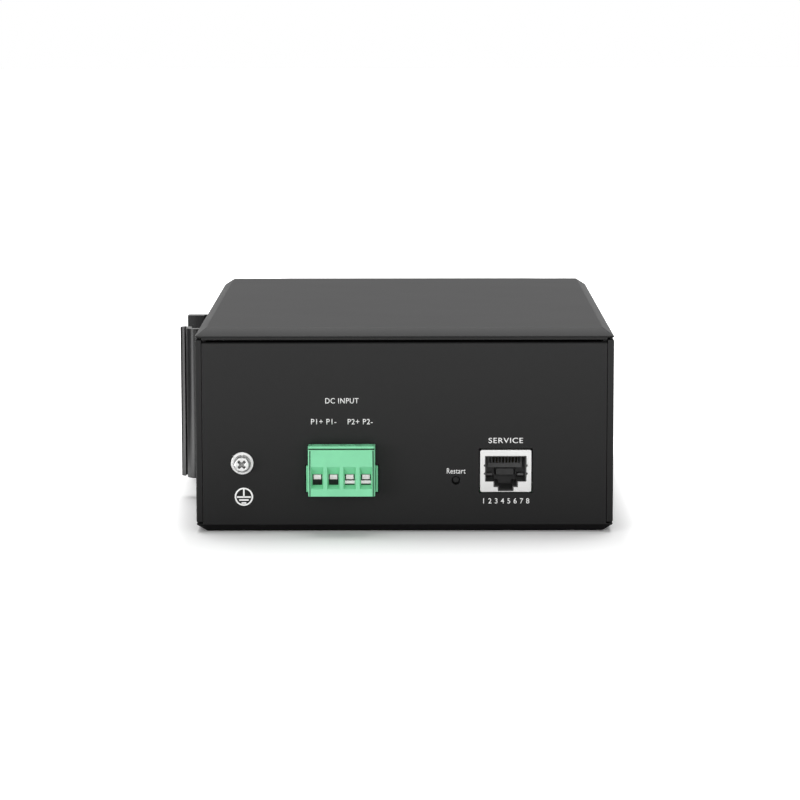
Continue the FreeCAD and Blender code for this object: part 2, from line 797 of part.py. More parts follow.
def console_jack():
    low = board_top
    high = board_top + console_height
    front = console_front
    back = console_front + console_depth
    shell = block(span(console_x, console_width), (front, back), (low, high))
    corners = [e for e in shell.Edges if e.BoundBox.YLength > console_depth - slack]
    shell = shell.makeFillet(console_round, corners)
    inner = block(span(console_x, console_width - 2 * shell_sheet), (front + shell_sheet, back - shell_sheet),
                  (low, high - shell_sheet))
    notches = [rod(console_notch_radius, V(hand * jack_open_width / 2, 0, z), Y_AXIS * shell_sheet)
               for hand in SIDES for z in console_notch_heights]
    mouth = [on_console(cut) for cut in [jack_void(0, 0, shell_sheet)] + notches]
    save("console_jack_shell", shell.cut([inner] + mouth))
    body = block(span(console_x, console_width - 2 * (shell_sheet + slack)),
                 (front + shell_sheet + thread_slack, back - shell_sheet - slack),
                 (low, high - shell_sheet - slack))
    cavity = jack_void(jack_cavity_inset, 0, jack_cavity_depth)
    save("console_jack_insert", body.cut(on_console(cavity)))
    save("console_jack_contacts", *[on_console(wire) for wire in jack_contacts()])
    roof = mouth_height - jack_cavity_inset
    comb_y = (jack_cavity_depth - comb_depth, jack_cavity_depth)
    comb = block(span(0, comb_width), comb_y, (roof - comb_height, roof))
    slits = [block(span((n - (comb_count - 1) / 2) * contact_pitch, comb_slit), comb_y,
                   (roof - comb_slit_height, roof)) for n in range(comb_count)]
    save("console_jack_comb", on_console(comb.cut(slits)))


def reset_button():
    body_y = (reset_body_front, reset_body_front + reset_body_depth)
    body = block(span(reset_x, reset_body_width), body_y, (board_top, board_top + reset_body_height))
    tip = V(reset_x, reset_tip, reset_z)
    length = reset_plunger_out + reset_plunger_in
    bore = rod(reset_plunger_radius + slack, tip, Y_AXIS * (length + reset_travel + slack))
    save("reset_switch_body", body.cut(bore))
    save("reset_plunger", rod(reset_plunger_radius, tip, Y_AXIS * length))


def port_block():
    low = board_top
    high = board_top + port_block_height
    width = (port_block_start, port_block_end)
    shell = block((port_block_back, port_front), width, (low, high))
    inner = block((port_block_back + shell_sheet, port_front - shell_sheet),
                  (port_block_start + shell_sheet, port_block_end - shell_sheet), (low, high - shell_sheet))
    mouths = on_ports(jack_void(0, 0, shell_sheet))
    middle = board_top + port_block_height / 2
    light_x = (port_front - light_pipe_depth, port_front)
    pipe_ys = [y + hand * light_pipe_offset for y in port_ys for hand in SIDES]
    lights = [block(light_x, span(y, light_pipe_width), span(middle, light_pipe_height)) for y in pipe_ys]
    pockets = [block(light_x, span(y, light_pipe_width + 2 * thread_slack),
                     span(middle, light_pipe_height + 2 * thread_slack)) for y in pipe_ys]
    save("port_block_shell", shell.cut([inner] + mouths + pockets))
    gap = shell_sheet + slack
    body = block((port_block_back + gap, port_front - gap), (port_block_start + gap, port_block_end - gap),
                 (low, high - gap))
    cavities = on_ports(jack_void(jack_cavity_inset, 0, jack_cavity_depth))
    save("port_block_insert", body.cut(cavities + pockets))
    save("port_contacts", *[copy for wire in jack_contacts() for copy in on_ports(wire)])
    save("port_light_pipes", *lights)


def module_cage():
    low = board_top
    cage = block((module_cage_back, port_front), (module_start, module_start + module_cage_width),
                 (low, low + module_cage_height))
    floor = low + module_cage_sheet
    cells = [block((module_cage_back + module_cage_sheet, port_front), span(y, module_width),
                   (floor, floor + module_height)) for y in module_ys]
    save("module_cage", cage.cut(cells))
    back = module_cage_back + module_cage_sheet
    connectors = [block((back, back + module_connector_depth), span(y, module_connector_width),
                        (floor, floor + module_connector_height)) for y in module_ys]
    save("module_connectors", *connectors)


def status_lights():
    holder_front = wall_inner - slack
    holder = block((holder_front - light_holder_depth, holder_front), span(light_y, light_holder_width),
                   (board_top, light_holder_top))
    seat = holder_front - light_seat_depth
    seats = [V(seat, light_y, z) for z in light_zs]
    bores = [rod(light_radius + thread_slack, start, X_AXIS * light_seat_depth) for start in seats]
    save("status_light_holder", holder.cut(bores))
    length = half_width + light_proud - seat
    save("status_lights", *[rod(light_radius, start, X_AXIS * length) for start in seats])


def standoff_spots():
    x = board_half_x - standoff_inset
    y = board_half_y - standoff_inset
    return [(hand * x, end * y) for hand in SIDES for end in SIDES]


def main_board():
    board = block((-board_half_x, board_half_x), (-board_half_y, board_half_y), (board_bottom, board_top))
    through = Z_AXIS * board_thick
    holes = [rod(screw_radius + slack, V(x, y, board_bottom), through) for x, y in standoff_spots()]
    leg_y = header_front + header_depth + pin_size / 2
    pin_hole = pin_size + 2 * pin_hole_slack
    holes += [block(span(x, pin_hole), span(leg_y, pin_hole), (board_bottom, board_top)) for x in pole_xs]
    save("main_board", board.cut(holes))
    standoffs = []
    screws = []
    for x, y in standoff_spots():
        foot = V(x, y, sheet)
        post = hex_bar(standoff_across, foot, Z_AXIS * standoff_height)
        standoffs.append(post.cut(rod(screw_radius + thread_slack, foot, Z_AXIS * standoff_height)))
        seat = V(x, y, board_top)
        head = rod(board_head_radius, seat, Z_AXIS * board_head_height)
        screws.append(head.fuse(rod(screw_radius, seat, Z_AXIS * -board_screw_length)))
    save("board_standoffs", *standoffs)
    save("board_screws", *screws)


def board_part(spot, length, width, height):
    return chamfered_block(span(spot[0], length), span(spot[1], width), (board_top, board_top + height),
                           moulding_chamfer)


def heat_sink():
    """A finned extrusion on the switch chip, held by its thermal pad."""
    chip_x, chip_y = chip_spot
    x0, x1 = span(chip_x, sink_size)
    y0, y1 = span(chip_y, sink_size)
    root = sink_low + sink_base
    top = sink_low + sink_height
    step = (sink_size - sink_fin_thick) / (sink_fins - 1)
    comb = [(x1, sink_low), (x0, sink_low)]
    for n in range(sink_fins):
        left = x0 + n * step
        comb += [(left, root), (left, top), (left + sink_fin_thick, top), (left + sink_fin_thick, root)]
    comb = [point for n, point in enumerate(comb) if n not in (2, len(comb) - 1)]
    save("heat_sink", prism([V(x, y0, z) for x, z in comb], Y_AXIS * (y1 - y0)))
    pad_low = board_top + chip_height
    save("thermal_pad", block(span(chip_x, pad_size), span(chip_y, pad_size), (pad_low, sink_low)))
    save("switch_chip", block(span(chip_x, chip_size), span(chip_y, chip_size), (board_top, pad_low)))


def inductor(y):
    body = block(span(inductor_x, inductor_size), span(y, inductor_size),
                 (board_top, board_top + inductor_height))
    uprights = [e for e in body.Edges if e.BoundBox.ZLength > inductor_height - slack]
    return body.makeFillet(inductor_round, uprights)


def board_parts():
    heat_sink()
    save("port_transformers", *[board_part((transformer_x, y), transformer_length, transformer_width,
                                           transformer_height) for y in port_ys])
    save("power_controllers", *[board_part((controller_x, y), controller_size, controller_size,
                                           controller_height) for y in controller_ys])
    save("memory_chip", board_part(memory_spot, memory_length, memory_width, memory_height))
    save("bulk_capacitors", *[rod(capacitor_radius, V(capacitor_x, y, board_top), Z_AXIS * capacitor_height)
                              for y in capacitor_ys])
    save("power_inductors", *[inductor(y) for y in inductor_ys])
    save("isolated_converter", board_part((converter_x, converter_y), converter_length, converter_width,
                                          converter_height))


os.makedirs("parts", exist_ok=True)
chassis()
top_cover()
rear_wall()
port_panel()
case_screws()
rail_clip()
rail_spring()
ground_stud()
terminal_header()
terminal_plug()
plug_contacts()
clamps()
console_jack()
reset_button()
port_block()
module_cage()
status_lights()
main_board()
board_parts()
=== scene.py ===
# %% [markdown]
# # A rail-mount ethernet switch
# The switch lies on its side with its power end towards us. Its solid model gives every piece at its
# real size. This lesson adds what the solids lack: paint, plating and mouldings, soft edges that catch
# the light, screw recesses, lenses and printed marks. Everything stays in metres, in the frame of the
# solids.

# %% Load the solid model
import json
import math
from contextlib import contextmanager

import bpy
from mathutils import Euler, Matrix, Quaternion, Vector

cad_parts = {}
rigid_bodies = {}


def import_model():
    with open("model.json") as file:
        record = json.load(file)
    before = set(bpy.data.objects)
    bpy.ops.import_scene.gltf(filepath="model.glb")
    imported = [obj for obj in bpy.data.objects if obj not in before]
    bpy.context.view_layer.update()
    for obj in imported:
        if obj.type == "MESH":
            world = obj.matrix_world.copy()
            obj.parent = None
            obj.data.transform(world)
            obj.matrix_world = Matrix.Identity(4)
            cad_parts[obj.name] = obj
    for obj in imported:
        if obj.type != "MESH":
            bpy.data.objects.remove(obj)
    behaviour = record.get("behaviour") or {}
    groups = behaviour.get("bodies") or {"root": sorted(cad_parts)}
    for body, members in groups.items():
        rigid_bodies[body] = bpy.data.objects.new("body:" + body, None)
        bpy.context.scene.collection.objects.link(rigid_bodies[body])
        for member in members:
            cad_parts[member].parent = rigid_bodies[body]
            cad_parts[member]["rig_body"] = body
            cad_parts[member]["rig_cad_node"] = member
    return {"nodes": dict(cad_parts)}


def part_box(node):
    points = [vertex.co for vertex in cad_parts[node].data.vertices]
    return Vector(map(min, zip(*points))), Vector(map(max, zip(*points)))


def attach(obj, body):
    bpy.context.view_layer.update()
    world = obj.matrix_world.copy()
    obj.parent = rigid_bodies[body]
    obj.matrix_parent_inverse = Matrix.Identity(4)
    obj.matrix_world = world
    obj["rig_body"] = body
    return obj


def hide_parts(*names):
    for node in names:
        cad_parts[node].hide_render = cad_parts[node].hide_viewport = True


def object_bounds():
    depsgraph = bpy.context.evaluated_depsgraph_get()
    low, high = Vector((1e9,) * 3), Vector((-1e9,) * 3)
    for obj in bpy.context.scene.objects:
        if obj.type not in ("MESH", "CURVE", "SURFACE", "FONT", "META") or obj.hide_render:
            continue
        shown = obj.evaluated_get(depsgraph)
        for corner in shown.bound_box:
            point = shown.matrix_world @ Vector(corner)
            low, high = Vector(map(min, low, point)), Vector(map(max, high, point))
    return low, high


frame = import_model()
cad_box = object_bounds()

MM = 0.001
nodes = frame["nodes"]
print(len(nodes), "solids; the box in mm is", [round(v / MM, 1) for corner in cad_box for v in corner])

# %% [markdown]
# ## The camera
# The picture is taken with a long lens, about a metre from the power end and a little above it, so the
# edges of the case hardly converge. One could move a camera by eye. Here the place and the tilt were
# solved from the corners of the case, the terminal and the jack, and they are simply written down.

# %% Camera
CAMERA_PLACE = Vector((1.91, -1017.37, 175.35)) * MM
CAMERA_DOWN = math.radians(8.0825)
CAMERA_TURN = math.radians(0.202)
CAMERA_ROLL = math.radians(-0.104)
LENS = 135.581

level_turn = Euler((math.pi / 2 - CAMERA_DOWN, 0, CAMERA_TURN)).to_matrix()
bpy.ops.object.select_all(action="DESELECT")
bpy.ops.object.camera_add(location=CAMERA_PLACE,
                          rotation=(level_turn @ Matrix.Rotation(CAMERA_ROLL, 3, "Z")).to_euler())
camera = bpy.context.object
camera.data.lens = LENS
bpy.context.scene.camera = camera
print("camera", [round(v, 3) for v in camera.location], "lens", camera.data.lens)

# %% [markdown]
# ## Writing shaders as sums
# A material is a small graph of nodes. Placing each Math node by hand hides what is meant, so one class
# wraps an output socket: adding or multiplying two of them adds the Math node, and one method adds any
# other node. The formulas below then read like arithmetic.

# %% Sockets with arithmetic
class Value:
    """An output socket of a node, in a material or a world."""

    def __init__(self, socket):
        self.socket = socket
        self.tree = socket.id_data

    def add(self, kind, settings, sockets, out=0):
        """A new node of this kind: its settings first, then the values or links of its sockets."""
        node = self.tree.nodes.new(kind)
        for name, value in settings.items():
            setattr(node, name, value)
        for name, value in sockets.items():
            if isinstance(value, Value):
                self.tree.links.new(value.socket, node.inputs[name])
            else:
                node.inputs[name].default_value = value
        return Value(node.outputs[out])

    def math(self, operation, first, second):
        return self.add("ShaderNodeMath", {"operation": operation}, {0: first, 1: second})

    def __add__(self, other):
        return self.math("ADD", self, other)

    def __sub__(self, other):
        return self.math("SUBTRACT", self, other)

    def __rsub__(self, other):
        return self.math("SUBTRACT", other, self)

    def __mul__(self, other):
        return self.math("MULTIPLY", self, other)

    def __gt__(self, other):
        return self.math("GREATER_THAN", self, other)

    def __lt__(self, other):
        return self.math("LESS_THAN", self, other)

    def __abs__(self):
        return self.math("ABSOLUTE", self, 0)

    __radd__ = __add__
    __rmul__ = __mul__

    def larger(self, other):
        return self.math("MAXIMUM", self, other)

    def smaller(self, other):
        return self.math("MINIMUM", self, other)

    def tint(self, low, high):
        """A colour from low to high, where this value runs from 0 to 1."""
        colours = {0: self, 6: low if isinstance(low, Value) else (*low, 1),
                   7: high if isinstance(high, Value) else (*high, 1)}
        return self.add("ShaderNodeMix", {"data_type": "RGBA"}, colours, out=2)

    def noise(self, scale, detail=2.0):
        return self.add("ShaderNodeTexNoise", {}, {"Vector": self, "Scale": scale, "Detail": detail})

    def stretched(self, scale):
        return self.add("ShaderNodeMapping", {}, {"Vector": self, "Scale": scale})

    def feed(self, socket):
        self.tree.links.new(self.socket, socket)


print("Value wraps sockets")

# %% Opening a material
def start_finish(name, constants):
    """A new material, its main shader with these constants, and the Object coordinates."""
    material = bpy.data.materials.new(name)
    material.use_nodes = True
    shader = material.node_tree.nodes["Principled BSDF"]
    for socket, value in constants.items():
        shader.inputs[socket].default_value = value
    place = material.node_tree.nodes.new("ShaderNodeTexCoord")
    return material, shader, Value(place.outputs["Object"])


def raise_relief(height, depth, shader):
    """Lets a height tilt the surface, as relief that is this deep where the height is 1."""
    bump = height.add("ShaderNodeBump", {}, {"Strength": 1.0, "Distance": depth, "Height": height})
    bump.feed(shader.inputs["Normal"])


def ramp(value, start, end, low, high):
    """A soft step from low to high while the value runs from start to end."""
    return value.add("ShaderNodeMapRange", {"interpolation_type": "SMOOTHSTEP"},
                     {"Value": value, "From Min": start, "From Max": end, "To Min": low, "To Max": high})


def axes(place):
    """The three coordinates of a place or a direction."""
    return [place.add("ShaderNodeSeparateXYZ", {}, {"Vector": place}, out=axis) for axis in range(3)]


print("start_finish opens a material")

# %% [markdown]
# ## Floor and background
# The switch lies on a white table. The white should not come from more light on the black case, so the
# floor and the world answer differently to what sees them: to the camera they are white, and to light
# that only fills they are plain pale surroundings. Beside the switch the floor is painted brighter to the
# camera, and that painted light washes out most of the shadow at its sides. A mirror-like surface sees a
# third version, because a studio is not white all round. In it the table has painted shade close to what
# stands on it and at the left, where a black flag would shade it, and a painted bright strip on the
# table, out to the left front, puts a highlight on the clip's nose. The floor is still a matt surface
# that receives light, so the contact shadow stays.

# %% Floor
FLOOR_SIZE = 9.0
FLOOR_DROP = -0.02 * MM
FLOOR_GREY = 0.7
FLOOR_SEEN = 1.12
FLOOR_BESIDE = 1.8
BESIDE_FADE = 15 * MM
# Painted shade in the floor's reflections: darker close to the switch
SHADE_NEAR = 0.2
SHADE_FAR = 2.1
SHADE_REACH = 0.45
FLAG_SHADE = 0.1
# Painted shade in the floor's reflections at the left, where a flag would shade the table
PAINTED_FLAG_ACROSS = (-0.3, -0.12)
PAINTED_FLAG_ALONG = (0.35, 0.6)
# Painted light: a bright strip on the floor, seen only in reflections, in place of a white card
PAINTED_GLOW = 4.2
PAINTED_GLOW_LINE = -0.055
PAINTED_GLOW_FADE = (0.03, 0.12)
PAINTED_GLOW_END = (-0.12, -0.09)


def ray_kinds(tree):
    """1 where the camera or a see-through piece looks, and 1 where a reflection looks."""
    path = tree.nodes.new("ShaderNodeLightPath")
    camera_ray, glossy, through = [Value(path.outputs[f"Is {ray} Ray"])
                                   for ray in ("Camera", "Glossy", "Transmission")]
    return camera_ray.larger(through), glossy


bpy.ops.object.select_all(action="DESELECT")
bpy.ops.mesh.primitive_plane_add(size=FLOOR_SIZE, location=(0, 0, FLOOR_DROP))
floor = bpy.context.object
floor.name = "floor"
table = bpy.data.materials.new("white_table")
table.use_nodes = True
table.node_tree.nodes.remove(table.node_tree.nodes["Principled BSDF"])
seen, glossy = ray_kinds(table.node_tree)
x, y = axes(Value(table.node_tree.nodes.new("ShaderNodeTexCoord").outputs["Object"]))[:2]
corner = cad_box[1]
# Painted light: beside the switch the floor is brighter to the camera, which washes out the side shadows
white = ramp(abs(x), corner.x, corner.x + BESIDE_FADE, FLOOR_SEEN, FLOOR_BESIDE)
beside = (abs(x) - corner.x).larger(abs(y) - corner.y)
# Painted shade: to reflections the floor is darker close to the switch, and darker still at the left
flag_painted_shade = ramp(x, *PAINTED_FLAG_ACROSS, 1.0, 0.0) * ramp(y, *PAINTED_FLAG_ALONG, 1.0, 0.0)
shade = ramp(beside, 0.0, SHADE_REACH, SHADE_NEAR, SHADE_FAR) * (1 - flag_painted_shade * (1 - FLAG_SHADE))
# Painted light: the floor's bright strip at the left front, for reflections only
painted_glow = ramp(abs(x - y - PAINTED_GLOW_LINE), *PAINTED_GLOW_FADE, PAINTED_GLOW, 0.0) * ramp(x, *PAINTED_GLOW_END, 1.0, 0.0)
level = seen * white + glossy * (shade + painted_glow) + (1 - seen - glossy) * FLOOR_GREY
grey = level.add("ShaderNodeCombineColor", {}, {"Red": level, "Green": level, "Blue": level})
matt = seen.add("ShaderNodeBsdfDiffuse", {}, {"Color": grey})
matt.feed(table.node_tree.nodes["Material Output"].inputs["Surface"])
floor.data.materials.append(table)
print("floor", FLOOR_SIZE, "m wide")

# %% [markdown]
# ## The room
# Above the table, reflections see the room. On our side it is dim. Behind the switch it is pale high up
# and dark along the middle of the horizon, with a pale strip at each side. The strips are what the case's
# side bevels mirror, so they stand out from the walls. The flag at the left goes on here.

# %% World
FILL_LIGHT = 0.4
ROOM_DIM = 0.4
ROOM_BEHIND = 0.75
HORIZON = 0.1
STRIP_GLOW = 0.6
STRIP_ASIDE = (0.06, 0.2)
LOW_SKY = (0.0, 0.4)
HALFWAY = (-0.4, 0.4)
SKY_FLAG = (-0.9, -0.5)

world = bpy.data.worlds.new("studio")
bpy.context.scene.world = world
world.use_nodes = True
background = world.node_tree.nodes["Background"]
background.inputs["Color"].default_value = (1, 1, 1, 1)
seen, glossy = ray_kinds(world.node_tree)
x, y, z = axes(Value(world.node_tree.nodes.new("ShaderNodeTexCoord").outputs["Generated"]))
behind = ramp(y, *HALFWAY, 0.0, 1.0)
strips = ramp(abs(x), *STRIP_ASIDE, 0.0, STRIP_GLOW) * ramp(z, *LOW_SKY, 1.0, 0.0)
sky = behind * (ramp(z, *LOW_SKY, HORIZON, ROOM_BEHIND) + strips)
room = (sky + (1 - behind) * ROOM_DIM) * ramp(x, *SKY_FLAG, FLAG_SHADE, 1.0)
(seen + glossy * room + (1 - seen - glossy) * FILL_LIGHT).feed(background.inputs["Strength"])
bpy.context.scene.view_settings.view_transform = "Standard"
print("fill light", FILL_LIGHT)

# %% [markdown]
# ## Soft lamps
# A large soft light above and behind gives the top its even sheen. Three more in front light the power
# end, the left one strongest. They could be area lamps close by. Sun lamps with a wide angle give the
# same soft shadows, and their light stays the same over the whole case.

# %% Soft lamps
# Name, degrees above the horizon, degrees round from the front, width in degrees, and strength
LAMPS = (("overhead", 72, 180, 50, 1.8), ("left_front", 3, -45, 24, 1.45),
         ("right_front", 12, 45, 40, 0.3), ("front", 8, 0, 60, 0.92))

for name, climb, turn, width, strength in LAMPS:
    bpy.ops.object.light_add(type="SUN", location=(0, 0, 1),
                             rotation=(math.radians(90 - climb), 0, math.radians(turn)))
    lamp = bpy.context.object
    lamp.name = name
    lamp.data.angle = math.radians(width)
    lamp.data.energy = strength
    print("lamp", name, strength)

# %% [markdown]
# ## Paint of the case
# The sheet is powder coated in satin black. Powder melts into a skin with a fine grain and a slight
# orange peel, and its gloss differs a little from place to place. A flat black would look like a hole in
# the picture, so two noises tilt the surface, one at a quarter of a millimetre and one at a millimetre,
# and a third, much larger, varies the gloss. The press also leaves the cover's bevels slightly crowned,
# not flat. The crown is about a fifth of a millimetre, so it is relief too, and it follows the height.

# %% Case paint
PAINT_DARK = (0.0056, 0.0056, 0.0057)
PAINT_PALE = (0.0074, 0.0074, 0.0075)
PAINT_ROUGH = 0.39
PAINT_SPREAD = 0.06
CLOUD_SCALE = 28.0
GRAIN_SCALE = 4200.0
PEEL_SCALE = 850.0
GRAIN_MM = 0.0066
PEEL_MM = 0.0054
CROWN_MM = 0.45
CROWN_TOP = 0.3
BEVEL_HEIGHT = 2.9 * MM


def coat_case():
    material, shader, place = start_finish("case_paint", {"Specular IOR Level": 0.32})
    cloud = place.noise(CLOUD_SCALE, 3.0)
    grain = place.noise(GRAIN_SCALE)
    peel = place.noise(PEEL_SCALE)
    cloud.tint(PAINT_DARK, PAINT_PALE).feed(shader.inputs["Base Color"])
    (PAINT_ROUGH + cloud * PAINT_SPREAD + grain * PAINT_SPREAD).feed(shader.inputs["Roughness"])
    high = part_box("top_cover")[1]
    down = ((high.z - axes(place)[2]) * (1 / BEVEL_HEIGHT)).smaller(1.0)
    off_middle = down - CROWN_TOP
    crown = off_middle * off_middle * -CROWN_MM
    raise_relief(grain * GRAIN_MM + peel * PEEL_MM + crown, MM, shader)
    return material


case_paint = coat_case()
print("made", case_paint.name)

# %% [markdown]
# ## Metals
# A metal keeps fine marks of its making that vary its gloss. On rolled and drawn metal they are long
# streaks, and on plated parts they are even. The metals of the switch differ mostly in numbers, and one
# function keeps them in a readable table of calls. The head of the earth screw is bright in front only,
# because a mask by place paints shade into its recess and down its sides.

# %% Metals
METAL_CLOUD = 160.0
METAL_SHADE = 0.86
METAL_PAINTED_SHADE = 0.35
STREAK_SPREAD = 0.14
CLOUD_SPREAD = 0.08
# Where the earth screw's head gets painted shade
RECESS_ROUND = 1.75 * MM
RECESS_FADE = (0.1 * MM, 0.35 * MM)
HEAD_FADE = (0.5 * MM, 0.8 * MM)


def shaded(colour, by):
    return [min(1, channel * by) for channel in colour]


def inward(y, front, fade):
    """0 at the front of a piece and 1 further in, with a soft step between these two depths."""
    return ramp(y, front + fade[0], front + fade[1], 0.0, 1.0)


def metal(name, colour, rough, streaks, depth, painted_shade=None):
    """A metal with fine marks: their scale along X, Y and Z per metre, and how deep they are."""
    material, shader, place = start_finish(name, {"Metallic": 1.0})
    lines = place.stretched(streaks).noise(1.0, 3.0)
    cloud = place.noise(METAL_CLOUD)
    shown = cloud.tint(shaded(colour, METAL_SHADE), colour)
    # Painted shade: darker where the mask gives 1
    if painted_shade:
        shown = painted_shade(place).tint(shown, shaded(colour, METAL_PAINTED_SHADE))
    shown.feed(shader.inputs["Base Color"])
    (rough + lines * STREAK_SPREAD + cloud * CLOUD_SPREAD).feed(shader.inputs["Roughness"])
    raise_relief(lines, depth, shader)
    print("metal", name, "with a roughness from", rough)
    return material


def earth_head_painted_shade(place):
    """Painted shade: 1 in the recess of the earth screw and down the sides of its head."""
    low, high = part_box("ground_screw")
    x, y, z = axes(place)
    off_x, off_z = x - (low.x + high.x) / 2, z - (low.z + high.z) / 2
    recess = (off_x * off_x + off_z * off_z < RECESS_ROUND ** 2) * inward(y, low.y, RECESS_FADE)
    return recess.larger(inward(y, low.y, HEAD_FADE))


zinc = metal("zinc", (0.66, 0.66, 0.65), 0.2, (900, 900, 900), 0.004 * MM)
black_steel = metal("black_screws", (0.045, 0.045, 0.047), 0.3, (1500, 1500, 1500), 0.004 * MM)
spring_steel = metal("spring_steel", (0.55, 0.55, 0.54), 0.22, (2500, 2500, 60), 0.003 * MM)
nickel = metal("nickel", (0.95, 0.95, 0.94), 0.32, (120, 3000, 3000), 0.002 * MM)
gold = metal("gold_plate", (0.86, 0.64, 0.27), 0.2, (2500, 2500, 2500), 0.002 * MM)
# Painted shade: the console jack's contact wires get a dark gold, as they look in the jack's shade
gold_in_painted_shade = metal("gold_in_painted_shade", (0.16, 0.125, 0.07), 0.3, (2500, 2500, 2500), 0.002 * MM)
head_plate = metal("head_plate", (0.95, 0.95, 0.94), 0.32, (900, 900, 900), 0.003 * MM, earth_head_painted_shade)
dull_zinc = metal("dull_zinc", (0.40, 0.40, 0.40), 0.26, (900, 900, 900), 0.004 * MM)
tin = metal("tin_plate", (0.90, 0.88, 0.86), 0.3, (1800, 1800, 1800), 0.003 * MM)
aluminium = metal("aluminium", (0.70, 0.71, 0.72), 0.3, (2500, 60, 2500), 0.004 * MM)

# %% [markdown]
# ## Plastics
# A moulding has a fine eroded grain, and its gloss clouds a little. One function makes them all, and the
# ink of the print too. The green plug is hollow, and hardly any light reaches its wire chambers, the
# groove above them and the seams of its end plates, so a mask by place paints shade into those.

# %% Plastics
PLASTIC_CLOUD = 220.0
PLASTIC_SHADE = 0.9
PLASTIC_TINT = 1.07
PLASTIC_PAINTED_SHADE = 0.06
GRAIN_SPREAD = 0.06
# Where the plug gets painted shade
CHAMBER_SIDE = 0.75 * MM
CHAMBER_RISE = (0.9 * MM, 10.9 * MM)
CHAMBER_FADE = (2.1 * MM, 2.5 * MM)
CHAMBER_END = 7.0 * MM
GROOVE_SIDE = 0.15 * MM
GROOVE_DROP = (2.2 * MM, 0.8 * MM)
GROOVE_DEPTH = (0.5 * MM, 1.2 * MM)
SEAM_SPAN = (0.45 * MM, 0.8 * MM)
SEAM_FADE = (0.08 * MM, 0.2 * MM)
SEAM_END = 0.4 * MM


def plastic(name, colour, rough, grain_size=0.2 * MM, depth=0.004 * MM, constants=None, painted_shade=None):
    """A moulding with an eroded grain of this size and depth, with painted shade where the mask gives 1.
    """
    material, shader, place = start_finish(name, constants or {})
    cloud = place.noise(PLASTIC_CLOUD, 3.0)
    grain = place.noise(1 / grain_size)
    shown = cloud.tint(shaded(colour, PLASTIC_SHADE), shaded(colour, PLASTIC_TINT))
    # Painted shade: darker where the mask gives 1
    if painted_shade:
        shown = painted_shade(place).tint(shown, shaded(colour, PLASTIC_PAINTED_SHADE))
    shown.feed(shader.inputs["Base Color"])
    (rough + cloud * CLOUD_SPREAD + grain * GRAIN_SPREAD).feed(shader.inputs["Roughness"])
    raise_relief(grain, depth, shader)
    print("plastic", name, "with a roughness from", rough)
    return material


def between(value, low, high):
    """1 where the value lies between these two."""
    return (value > low) * (value < high)


def plug_painted_shade(place):
    """Painted shade: 1 in the wire chambers, in the groove and in the seams of the terminal's plug."""
    low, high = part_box("terminal_plug")
    x, y, z = axes(place)
    edge = (x - low.x).smaller(high.x - x)
    chambers = between(x, low.x + CHAMBER_SIDE, high.x - CHAMBER_SIDE) \
        * between(z, low.z + CHAMBER_RISE[0], low.z + CHAMBER_RISE[1]) \
        * inward(y, low.y, CHAMBER_FADE) * (y < low.y + CHAMBER_END)
    groove = (edge > GROOVE_SIDE) * between(z, high.z - GROOVE_DROP[0], high.z - GROOVE_DROP[1]) \
        * between(y, low.y + GROOVE_DEPTH[0], low.y + GROOVE_DEPTH[1])
    seams = between(edge, *SEAM_SPAN) * inward(y, low.y, SEAM_FADE) * (y < low.y + SEAM_END)
    return chambers.larger(groove).larger(seams)


green = plastic("terminal_green", (0.235, 0.735, 0.41), 0.36, painted_shade=plug_painted_shade)
black_plastic = plastic("black_plastic", (0.022, 0.022, 0.022), 0.4)
# Painted light: the jacks' inserts, stops and comb get greys lighter than the black plastic, for light
# inside the jacks
jack_insert_painted_light = plastic("jack_insert_painted_light", (0.065, 0.065, 0.065), 0.4)
comb_plastic = plastic("comb_plastic", (0.17, 0.17, 0.17), 0.4)
reset_plastic = plastic("reset_plastic", (0.01, 0.01, 0.01), 0.4)
lens_plastic = plastic("light_plastic", (0.62, 0.68, 0.62), 0.16, depth=0.001 * MM,
                       constants={"Transmission Weight": 0.35})
laminate = plastic("board_laminate", (0.03, 0.17, 0.08), 0.34, 0.6 * MM)
sleeve = plastic("can_sleeve", (0.04, 0.05, 0.08), 0.25)
pad_rubber = plastic("pad", (0.45, 0.47, 0.50), 0.6, 0.5 * MM, 0.01 * MM)
print_white = plastic("print_white", (0.93, 0.93, 0.92), 0.45, 0.1 * MM)

# %% [markdown]
# ## Metal of the rail clip
# The clip is cut from a long aluminium extrusion that was anodised black first. So its sides carry the
# die's fine lines along the length, and only the two sawn ends are bare, with the marks of the saw. A
# second material on the end faces would do. A mask on the height does the same and needs no face picked.

# %% Clip metal
SAWN_SKIN = 0.03 * MM
DIE_LINES = (2600, 2600, 30)
SAW_MARKS = (700, 5000, 100)
ANODISED = ((0.005, 0.005, 0.0055), (0.008, 0.008, 0.0085))
SAWN = ((0.15, 0.15, 0.15), (0.27, 0.27, 0.27))
CLIP_ROUGH = 0.22
LINE_SPREAD = 0.12
SAWN_ROUGHER = 0.25
LINE_DEPTH = 0.006 * MM


def anodise_clip():
    material, shader, place = start_finish("clip_metal", {"Specular IOR Level": 0.5})
    low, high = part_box("rail_clip")
    height = axes(place)[2]
    bare = (height > high.z - SAWN_SKIN) + (height < low.z + SAWN_SKIN)
    lines = place.stretched(DIE_LINES).noise(1.0, 3.0)
    marks = place.stretched(SAW_MARKS).noise(1.0, 2.0)
    bare.tint(lines.tint(*ANODISED), marks.tint(*SAWN)).feed(shader.inputs["Base Color"])
    bare.feed(shader.inputs["Metallic"])
    (CLIP_ROUGH + lines * LINE_SPREAD + bare * SAWN_ROUGHER).feed(shader.inputs["Roughness"])
    raise_relief(lines, LINE_DEPTH, shader)
    return material


clip_metal = anodise_clip()
print("made", clip_metal.name)

